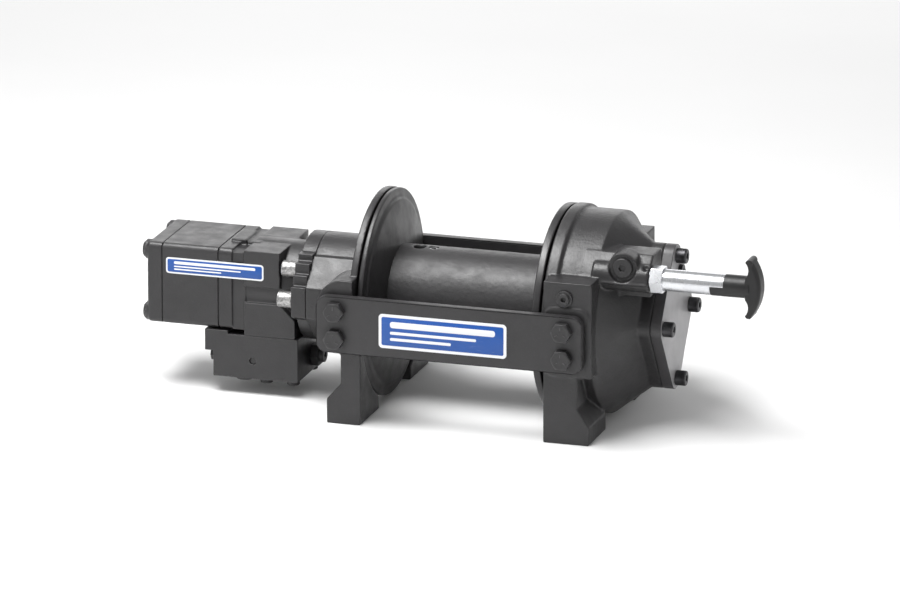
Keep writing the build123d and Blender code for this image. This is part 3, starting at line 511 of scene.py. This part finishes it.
# ---------------------------------------------------------------- fasteners
AROUND = 72     # points around a fastener: a multiple of 12, so that hexagons keep their corners
WASHER_FACE = 0.6
GRADE_MARKS = 3


def around(radius_at, height_at):
    """One ring about local Z; radius and height may be numbers or functions of the point's number."""
    ring = []
    for i in range(AROUND):
        angle = 2 * pi * i / AROUND
        radius = radius_at(i) if callable(radius_at) else radius_at
        height = height_at(i) if callable(height_at) else height_at
        ring.append((radius * cos(angle), radius * sin(angle), height))
    return ring


def hexagon(flats):
    """Radius of a hexagon at a point's number."""
    sixth = AROUND // 6

    def radius(i):
        return flats / 2 / cos(2 * pi * (i % sixth) / AROUND - pi / 6)
    return radius


def hex_bolt(name, at, direction, flats, height, shank, length):
    """Hexagon head with chamfered corners, a washer face and three raised grade marks."""
    side = hexagon(flats)
    crown = flats * 0.47

    def rim(i):
        return height - max(0.0, side(i) - crown) * tan(radians(30)) - 0.15

    head = rings_to_mesh(name, [
        around(shank - 0.8, -length),
        around(shank, -length + 0.8),
        around(shank, 0),
        around(crown, 0),
        around(crown, WASHER_FACE),
        around(lambda i: side(i) - 0.25, WASHER_FACE + 0.05),
        around(side, WASHER_FACE + 0.3),
        around(side, rim),
        around(lambda i: min(side(i), crown + 0.2), height - 0.15),
        around(crown - 0.4, height),
        around(crown - 1.5, height - 0.12),
        around(1.5, height - 0.12),
    ])
    marks = []
    for number in range(GRADE_MARKS):
        angle = 2 * pi * number / GRADE_MARKS + pi / 2
        spot = Vector((cos(angle), sin(angle), 0)) * flats * 0.27
        marks.append(bar_mesh(name, spot + Vector((0, 0, height)), (flats * 0.2, 0.9, 0.45), angle, 0.2))
    mesh = joined(name, [head, *marks])
    mesh.transform(pointing(direction, at))
    return mesh


def bar_mesh(name, centre, size, turn, edge):
    """Small bar with all its edges broken, turned about local Z."""
    bm = bmesh.new()
    bmesh.ops.create_cube(bm, size=1.0)
    bmesh.ops.scale(bm, vec=Vector(size), verts=bm.verts)
    bmesh.ops.bevel(bm, geom=bm.edges, offset=edge, segments=2, affect="EDGES", profile=0.5)
    bmesh.ops.rotate(bm, matrix=Matrix.Rotation(turn, 3, "Z"), verts=bm.verts)
    bmesh.ops.translate(bm, vec=Vector(centre), verts=bm.verts)
    bmesh.ops.scale(bm, vec=Vector((MM, MM, MM)), verts=bm.verts)
    mesh = bpy.data.meshes.new(name)
    bm.to_mesh(mesh)
    bm.free()
    return mesh


def socket_screw(name, at, direction, head, height, socket, depth, shank, length):
    """Socket head screw with a knurled side."""
    wall = hexagon(socket)

    def knurl(i):
        return head - 0.32 * (i % 2)

    mesh = rings_to_mesh(name, [
        around(shank - 0.8, -length),
        around(shank, -length + 0.8),
        around(shank, 0),
        around(head - 0.5, 0),
        around(head, 0.5),
        around(head, 1.0),
        around(knurl, 1.5),
        around(knurl, height - 1.9),
        around(head, height - 1.5),
        around(head - 0.15, height - 0.8),
        around(head - 0.9, height - 0.1),
        around(head - 1.4, height),
        around(lambda i: wall(i) + 0.5, height),
        around(wall, height - 0.5),
        around(wall, height - depth),
        around(0.6, height - depth - 1.0),
    ])
    mesh.transform(pointing(direction, at))
    return mesh


def thread(name, at, direction, radius, pitch, length, depth):
    """Helical thread on the wall of a hole, from its mouth inwards."""
    steps = 48
    rows_per_turn = 6
    rows = int(length / pitch * rows_per_turn)
    bm = bmesh.new()
    grid = []
    for row in range(rows + 1):
        height = -length * row / rows
        line = []
        for step in range(steps):
            turn = 2 * pi * step / steps
            phase = (height / pitch + step / steps) % 1.0
            r = radius - depth * (1 - abs(2 * phase - 1))
            line.append(bm.verts.new(Vector((r * cos(turn), r * sin(turn), height)) * MM))
        grid.append(line)
    for near, far in zip(grid, grid[1:]):
        for i in range(steps):
            j = (i + 1) % steps
            bm.faces.new((near[i], far[i], far[j], near[j]))
    mesh = bpy.data.meshes.new(name)
    bm.to_mesh(mesh)
    bm.free()
    mesh.polygons.foreach_set("use_smooth", [True] * len(mesh.polygons))
    mesh.transform(pointing(direction, at))
    return mesh


def middle(box):
    return (box[0] + box[1]) / 2


def tie_plate_bolts():
    under_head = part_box("rear_tie_plate")[1].y / MM
    meshes = []
    for box in islands("tie_plate_bolts"):
        side = 1 if box[0].y > 0 else -1
        at = (middle(box).x, side * under_head, middle(box).z)
        head = max(abs(box[0].y), abs(box[1].y)) - under_head
        length = under_head - min(abs(box[0].y), abs(box[1].y))
        meshes.append(hex_bolt("bolt", at, (0, side, 0), TIE_BOLT_FLATS, head, TIE_BOLT_SHANK_R, length))
    piece = new_piece("tie_plate_hex_bolts", joined("tie_plate_hex_bolts", meshes), "frame",
                      BOLT_PAINT)
    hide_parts("tie_plate_bolts")


def motor_cover_bolts():
    meshes = []
    for box in islands("motor_cover_bolts"):
        at = (box[0].x + MOTOR_BOLT_HEAD, middle(box).y, middle(box).z)
        length = box[1].x - at[0]
        meshes.append(hex_bolt("bolt", at, (-1, 0, 0), MOTOR_BOLT_FLATS, MOTOR_BOLT_HEAD,
                               MOTOR_BOLT_SHANK_R, length))
    piece = new_piece("motor_cover_hex_bolts", joined("motor_cover_hex_bolts", meshes), "frame",
                      BOLT_PAINT)
    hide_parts("motor_cover_bolts")


def motor_mount_screws():
    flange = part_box("brake_housing")[0].x / MM - MOUNT_FLANGE
    meshes = []
    for box in islands("motor_mount_screws"):
        at = (flange, middle(box).y, middle(box).z)
        meshes.append(socket_screw("screw", at, (-1, 0, 0), head=8.6, height=flange - box[0].x,
                                   socket=8.0, depth=6.0, shank=5.0, length=box[1].x - flange))
    piece = new_piece("motor_mount_socket_screws", joined("motor_mount_socket_screws", meshes), "frame",
                      SCREW_STEEL)
    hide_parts("motor_mount_screws")


def end_cover_bolts():
    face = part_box("gear_end_cover")[1].x / MM
    meshes = []
    for box in islands("end_cover_bolts"):
        at = (face, middle(box).y, middle(box).z)
        meshes.append(socket_screw("screw", at, (1, 0, 0), head=7.8, height=box[1].x - face,
                                   socket=6.0, depth=5.0, shank=4.1, length=face - box[0].x))
    piece = new_piece("end_cover_socket_screws", joined("end_cover_socket_screws", meshes), "frame",
                      BLACK_OXIDE)
    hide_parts("end_cover_bolts")


def valve_block_screws():
    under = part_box("valve_block")[0].z / MM
    meshes = []
    for box in islands("valve_block_screws"):
        at = (middle(box).x, middle(box).y, under)
        meshes.append(socket_screw("screw", at, (0, 0, -1), head=6.6, height=under - box[0].z,
                                   socket=5.0, depth=4.0, shank=4.0, length=box[1].z - under))
    piece = new_piece("valve_block_socket_screws", joined("valve_block_socket_screws", meshes), "frame",
                      BOLT_PAINT)
    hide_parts("valve_block_screws")


def tapped_holes():
    """Threads in the four foot bolt holes and in the two hose ports."""
    mounts = {mount["name"]: mount for mount in frame["record"]["mounts"]}
    feet = mounts["foot_bolts"]
    dims = feet["dims"]
    origin = Vector(feet["pos_m"]) / MM
    meshes = []
    for sx in (-0.5, 0.5):
        for sy in (-0.5, 0.5):
            at = origin + Vector((sx * dims["spacing_x_mm"], sy * dims["spacing_y_mm"], 0))
            radius = dims["hole_r_mm"] - THREAD_CLEARANCE
            meshes.append(thread("foot", at, (0, 0, -1), radius, **FOOT_THREAD))
    new_piece("foot_hole_threads", joined("foot_hole_threads", meshes), "frame", MACHINED)
    meshes = []
    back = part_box("valve_block")[1].y / MM
    for name in ("port_a", "port_b"):
        port = Vector(mounts[name]["pos_m"]) / MM
        radius = mounts[name]["dims"]["r_mm"] - THREAD_CLEARANCE
        mouth = (port.x, back - PORT_CHAMFER, port.z)
        meshes.append(thread("port", mouth, (0, 1, 0), radius, **PORT_THREAD))
    new_piece("port_threads", joined("port_threads", meshes), "frame", MACHINED)


# ---------------------------------------------------------------- drum
CORNER_POINTS = 6       # points along one rounded corner of an outline
FLANGE_RIM = 8.4        # from the inner face of a flange to the inner edge of its rim
FLANGE_LIP = 8.6        # radial height of the flat lip under the rim
FLANGE_DISH = 12.5      # radial distance from the rim to where the dish begins
BARREL_OVERLAP = 0.4    # how far a flange reaches under the barrel's surface


def ring_profile(points, rounding):
    """Closed (x, radius) outline with each corner rounded, as a dense list of points."""
    outline = []
    count = len(points)
    for i in range(count):
        before, corner, after = (Vector(points[(i + k) % count]) for k in (-1, 0, 1))
        to_before = (before - corner).normalized()
        to_after = (after - corner).normalized()
        reach = min(rounding[i], (before - corner).length * 0.45, (after - corner).length * 0.45)
        if reach < 0.02:
            outline.append(corner)
            continue
        for k in range(CORNER_POINTS):
            t = k / (CORNER_POINTS - 1)
            start = corner + to_before * reach
            end = corner + to_after * reach
            outline.append((1 - t) ** 2 * start + 2 * t * (1 - t) * corner + t * t * end)
    return outline


def turned_piece(name, outline, steps=200):
    """A closed outline of (x, radius) points turned about the drum axis."""
    height = axis_z()
    rings = []
    for point in outline:
        rings.append([
            (point[0], point[1] * cos(2 * pi * i / steps), height + point[1] * sin(2 * pi * i / steps))
            for i in range(steps)
        ])
    return rings_to_mesh(name, rings, loop=True, sharp=50.0)


def axis_z():
    """Height of the drum axis."""
    low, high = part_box("drum_barrel")
    return (low.z + high.z) / 2 / MM


def drum_flange(node, inwards):
    """Pressed drum flange: rounded rim, a flat lip, then a shallow dish down to the barrel."""
    low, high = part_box(node)
    outer_x = (low.x if inwards > 0 else high.x) / MM
    inner_x = (high.x if inwards > 0 else low.x) / MM
    radius = (high.z - low.z) / 2 / MM
    barrel_low, barrel_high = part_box("drum_barrel")
    barrel = (barrel_high.z - barrel_low.z) / 2 / MM
    rim_x = inner_x - inwards * FLANGE_RIM
    points = [
        (outer_x, barrel - BARREL_OVERLAP),
        (outer_x, radius - 0.1),
        (rim_x + inwards * 0.1, radius),
        (rim_x + inwards * 0.5, radius - FLANGE_LIP),
        (rim_x + inwards * 3.2, radius - FLANGE_DISH),
        (inner_x - inwards * 0.1, barrel + 6.2),
        (inner_x + inwards * 1.0, barrel - BARREL_OVERLAP),
    ]
    rounding = [0.0, 1.6, 1.8, 3.0, 9.0, 5.0, 0.0]
    mesh = turned_piece(node + "_turned", ring_profile(points, rounding))
    piece = new_piece(node + "_turned", mesh, "drum", DRUM_PAINT)
    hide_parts(node)


# ---------------------------------------------------------------- labels
def plate_outline(width, height, radius, steps=8):
    points = []
    for number, (sx, sy) in enumerate(((1, 1), (-1, 1), (-1, -1), (1, -1))):
        for k in range(steps + 1):
            angle = pi / 2 * (number + k / steps)
            points.append((
                sx * (width / 2 - radius) + radius * cos(angle),
                sy * (height / 2 - radius) + radius * sin(angle),
            ))
    return points


def flat_label(name, centre, width, height, radius, start, thickness, material):
    """Thin rounded plate on a face that looks to the front; `start` is how far it stands off the face."""
    rings = []
    for proud, inset in ((start, 0.0), (start + thickness * 0.7, 0.0), (start + thickness, 0.08)):
        rings.append([
            (centre[0] + x, centre[1] - proud, centre[2] + z)
            for x, z in plate_outline(width - 2 * inset, height - 2 * inset, radius - inset)
        ])
    new_piece(name, rings_to_mesh(name, rings), "frame", material)


def label(name, centre, width, height, radius):
    """Plain label: white edge, blue field, and three white bars where lettering would be."""
    flat_label(name + "_white", centre, width, height, radius, 0.0, 0.30, WHITE)
    border = height * 0.07 + 0.5
    field = height - 2 * border
    flat_label(name + "_blue", centre, width - 2 * border, field, radius - border * 0.7, 0.28, 0.12, BLUE)
    reach = (width - 2 * border) * 0.86
    bars = ((0.24, 0.22, 1.0), (-0.05, 0.10, 0.82), (-0.27, 0.10, 0.58))
    for number, (rise, share, long) in enumerate(bars, start=1):
        length = reach * long
        at = (centre[0] - (reach - length) / 2, centre[1], centre[2] + rise * field)
        flat_label(f"{name}_bar_{number}", at, length, share * field, share * field * 0.4, 0.38, 0.10, WHITE)


# ---------------------------------------------------------------- the object
def dress_kept_nodes():
    for material, nodes in KEPT.items():
        for node in nodes:
            mesh = frame["nodes"][node].data
            mesh.materials.clear()
            mesh.materials.append(material)


def castings():
    cast("gear_housing", 1.1, 4, CAST_PAINT, lump=0.06, lump_size=9.0)
    cast("motor_side_bracket", 1.0, 4, CAST_PAINT, lump=0.05, lump_size=9.0)
    cast("brake_housing", 0.9, 2, CAST_PAINT, lump=0.03, lump_size=9.0)
    cast("motor_front_housing", 0.8, 3, MOTOR_PAINT, lump=0.05, lump_size=7.0)
    cast("drum_barrel", 1.0, 2, BARREL_PAINT, lump=0.10, lump_size=5.0)
    cast("motor_end_cover", 0.7, 3, MOTOR_PAINT, lump=0.04, lump_size=6.0)


def machined_parts():
    rounded("motor_rotor_housing", 0.7, MOTOR_PAINT)
    rounded("valve_block", 0.7, MOTOR_PAINT)
    rounded("valve_block_plugs", 0.4, BOLT_PAINT)
    rounded("counterbalance_cartridge", 0.5, BOLT_PAINT)
    rounded("gear_end_cover", 0.8, COVER_PAINT_FACE_REFLECTION)
    rounded("end_cover_plug", 0.4, BLACK_OXIDE)
    rounded("vent_plug", 0.4, BOLT_PAINT)
    rounded("shifter_plug", 0.4, BOLT_PAINT)
    rounded("front_tie_plate", 1.0, PLATE_PAINT)
    rounded("rear_tie_plate", 1.0, PLATE_PAINT)
    rounded("clutch_tube", 0.3, ZINC_TUBE)
    rounded("clutch_jam_nut", 0.5, ZINC_NUT)


def labels():
    low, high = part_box("front_tie_plate")
    face = low.y / MM
    label("plate_label", (-6.0, face, (low.z + high.z) / 2 / MM - 1.5), width=136.0, height=36.0, radius=4.0)
    low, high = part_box("motor_rotor_housing")
    face = low.y / MM
    label("motor_label", (-276.5, face, axis_z() + 21.5), width=106.0, height=17.0, radius=3.0)


def stage():
    mesh = bpy.data.meshes.new("floor")
    half = FLOOR_HALF
    mesh.from_pydata(
        [(-half, -half, 0), (half, -half, 0), (half, half, 0), (-half, half, 0)], [], [(0, 1, 2, 3)]
    )
    floor = bpy.data.objects.new("floor", mesh)
    bpy.context.scene.collection.objects.link(floor)
    s = Shader("floor_white")
    s.set(base_color=s.mix(s.noise(3.0, 3.0), (0.80, 0.80, 0.80), (0.84, 0.84, 0.84)), roughness=0.9)
    s.surface.inputs["Specular IOR Level"].default_value = 0.1
    mesh.materials.append(s.material)


def softbox(name, place, size, power):
    """Area light in metres and watts, turned towards the middle of the winch."""
    data = bpy.data.lights.new(name, "AREA")
    data.shape = "RECTANGLE"
    data.size, data.size_y = size
    data.energy = power
    lamp = bpy.data.objects.new(name, data)
    lamp.location = place
    lamp.rotation_euler = (Vector(LIGHTS_AT) - Vector(place)).to_track_quat("-Z", "Y").to_euler()
    bpy.context.scene.collection.objects.link(lamp)


def lights():
    world = bpy.data.worlds.new("studio")
    world.use_nodes = True
    world.node_tree.nodes["Background"].inputs["Color"].default_value = (1.0, 1.0, 1.0, 1.0)
    world.node_tree.nodes["Background"].inputs["Strength"].default_value = WORLD_LIGHT
    bpy.context.scene.world = world
    softbox("overhead", place=(-0.45, -0.40, 1.55), size=(1.2, 0.6), power=40.0)
    softbox("front_left", place=(-1.6, -1.9, 0.9), size=(0.8, 0.8), power=7.0)
    softbox("right_side", place=(1.9, -0.2, 0.8), size=(0.9, 0.9), power=3.5)
    softbox("back", place=(-0.5, 2.4, 0.75), size=(3.2, 1.0), power=19.0)


def camera():
    data = bpy.data.cameras.new("camera")
    data.lens = CAMERA_LENS
    data.sensor_width = SENSOR_WIDTH
    data.clip_start = CLIP_NEAR
    data.clip_end = CLIP_FAR
    cam = bpy.data.objects.new("camera", data)
    back = Vector((
        sin(CAMERA_AZIMUTH) * cos(CAMERA_ELEVATION),
        -cos(CAMERA_AZIMUTH) * cos(CAMERA_ELEVATION),
        sin(CAMERA_ELEVATION),
    ))
    cam.location = (Vector(AIM) + back * CAMERA_DISTANCE) * MM
    cam.rotation_mode = "QUATERNION"
    cam.rotation_quaternion = (-back).to_track_quat("-Z", "Y")
    bpy.context.scene.collection.objects.link(cam)
    bpy.context.scene.camera = cam


camera()
lights()
stage()
dress_kept_nodes()
castings()
machined_parts()
tie_plate_bolts()
motor_cover_bolts()
motor_mount_screws()
end_cover_bolts()
valve_block_screws()
tapped_holes()
drum_flange("drum_flange_motor_side", 1)
drum_flange("drum_flange_gear_side", -1)
cast("clutch_t_handle", 0.5, 6, HANDLE_PLASTIC)
labels()

bpy.context.scene.view_settings.view_transform = "Standard"
